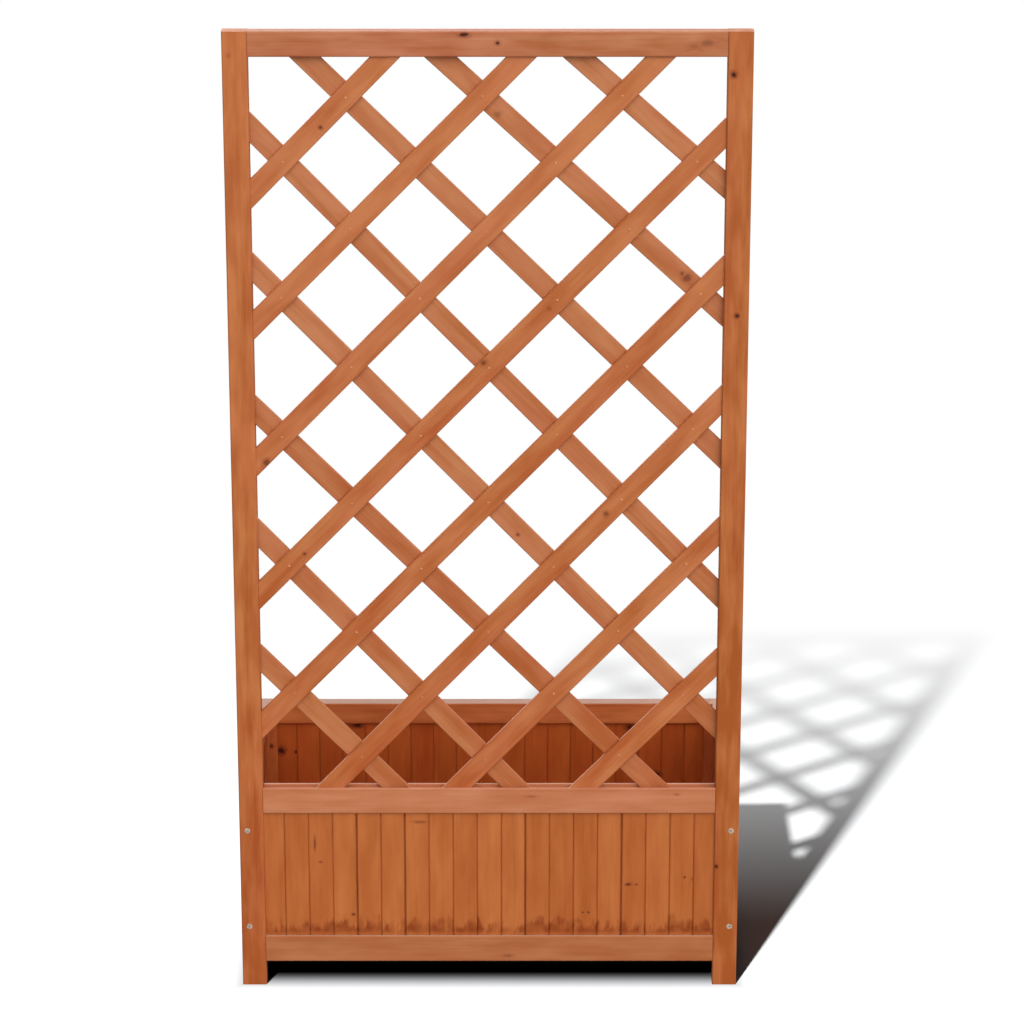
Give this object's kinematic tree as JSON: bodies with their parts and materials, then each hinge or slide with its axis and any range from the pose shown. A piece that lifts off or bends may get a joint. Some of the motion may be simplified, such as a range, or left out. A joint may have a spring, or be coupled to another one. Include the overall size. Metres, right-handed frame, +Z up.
{
  "type": "planter with trellis",
  "caption": "Free-standing wooden planter box on short legs, with a tall lattice trellis in its front frame for climbing plants.",
  "frame": {"origin": "on the ground, under the middle of the box's footprint", "axes": "+X to the right seen from the trellis side, +Y to the rear of the box, +Z up; the trellis frame faces -Y"},
  "size_m": [0.7, 0.35, 1.37],
  "materials": {
    "stained_fir_frame": "satin orange-brown stain over planed fir",
    "stained_fir_laths": "satin orange-brown stain over thin fir laths",
    "stained_fir_slats": "satin orange-brown stain over tongued and grooved fir",
    "stained_fir_floor": "thinly stained sawn fir",
    "zinc_steel": "bright zinc plating"
  },
  "bodies": {
    "root": {"corner_screws": "zinc_steel", "floor_batten_front": "stained_fir_floor", "floor_batten_rear": "stained_fir_floor", "floor_boards": "stained_fir_floor", "front_bottom_rail": "stained_fir_frame", "front_mid_rail": "stained_fir_frame", "front_post_left": "stained_fir_frame", "front_post_right": "stained_fir_frame", "front_slat_01": "stained_fir_slats", "front_slat_02": "stained_fir_slats", "front_slat_03": "stained_fir_slats", "front_slat_04": "stained_fir_slats", "front_slat_05": "stained_fir_slats", "front_slat_06": "stained_fir_slats", "front_slat_07": "stained_fir_slats", "front_slat_08": "stained_fir_slats", "front_slat_09": "stained_fir_slats", "front_slat_10": "stained_fir_slats", "front_slat_11": "stained_fir_slats", "front_slat_12": "stained_fir_slats", "front_slat_13": "stained_fir_slats", "front_slat_14": "stained_fir_slats", "front_slat_15": "stained_fir_slats", "front_slat_16": "stained_fir_slats", "front_slat_17": "stained_fir_slats", "front_slat_18": "stained_fir_slats", "front_slat_19": "stained_fir_slats", "lath_front_1": "stained_fir_laths", "lath_front_2": "stained_fir_laths", "lath_front_3": "stained_fir_laths", "lath_front_4": "stained_fir_laths", "lath_front_5": "stained_fir_laths", "lath_front_6": "stained_fir_laths", "lath_front_7": "stained_fir_laths", "lath_front_8": "stained_fir_laths", "lath_rear_1": "stained_fir_laths", "lath_rear_2": "stained_fir_laths", "lath_rear_3": "stained_fir_laths", "lath_rear_4": "stained_fir_laths", "lath_rear_5": "stained_fir_laths", "lath_rear_6": "stained_fir_laths", "lath_rear_7": "stained_fir_laths", "lath_rear_8": "stained_fir_laths", "lattice_nails": "zinc_steel", "left_side_bottom_rail": "stained_fir_frame", "left_side_front_stile": "stained_fir_frame", "left_side_rear_stile": "stained_fir_frame", "left_side_slats": "stained_fir_slats", "left_side_top_rail": "stained_fir_frame", "rear_bottom_rail": "stained_fir_frame", "rear_post_left": "stained_fir_frame", "rear_post_right": "stained_fir_frame", "rear_slats": "stained_fir_slats", "rear_top_rail": "stained_fir_frame", "right_side_bottom_rail": "stained_fir_frame", "right_side_front_stile": "stained_fir_frame", "right_side_rear_stile": "stained_fir_frame", "right_side_slats": "stained_fir_slats", "right_side_top_rail": "stained_fir_frame", "trellis_top_rail": "stained_fir_frame"}
  },
  "joints": []
}
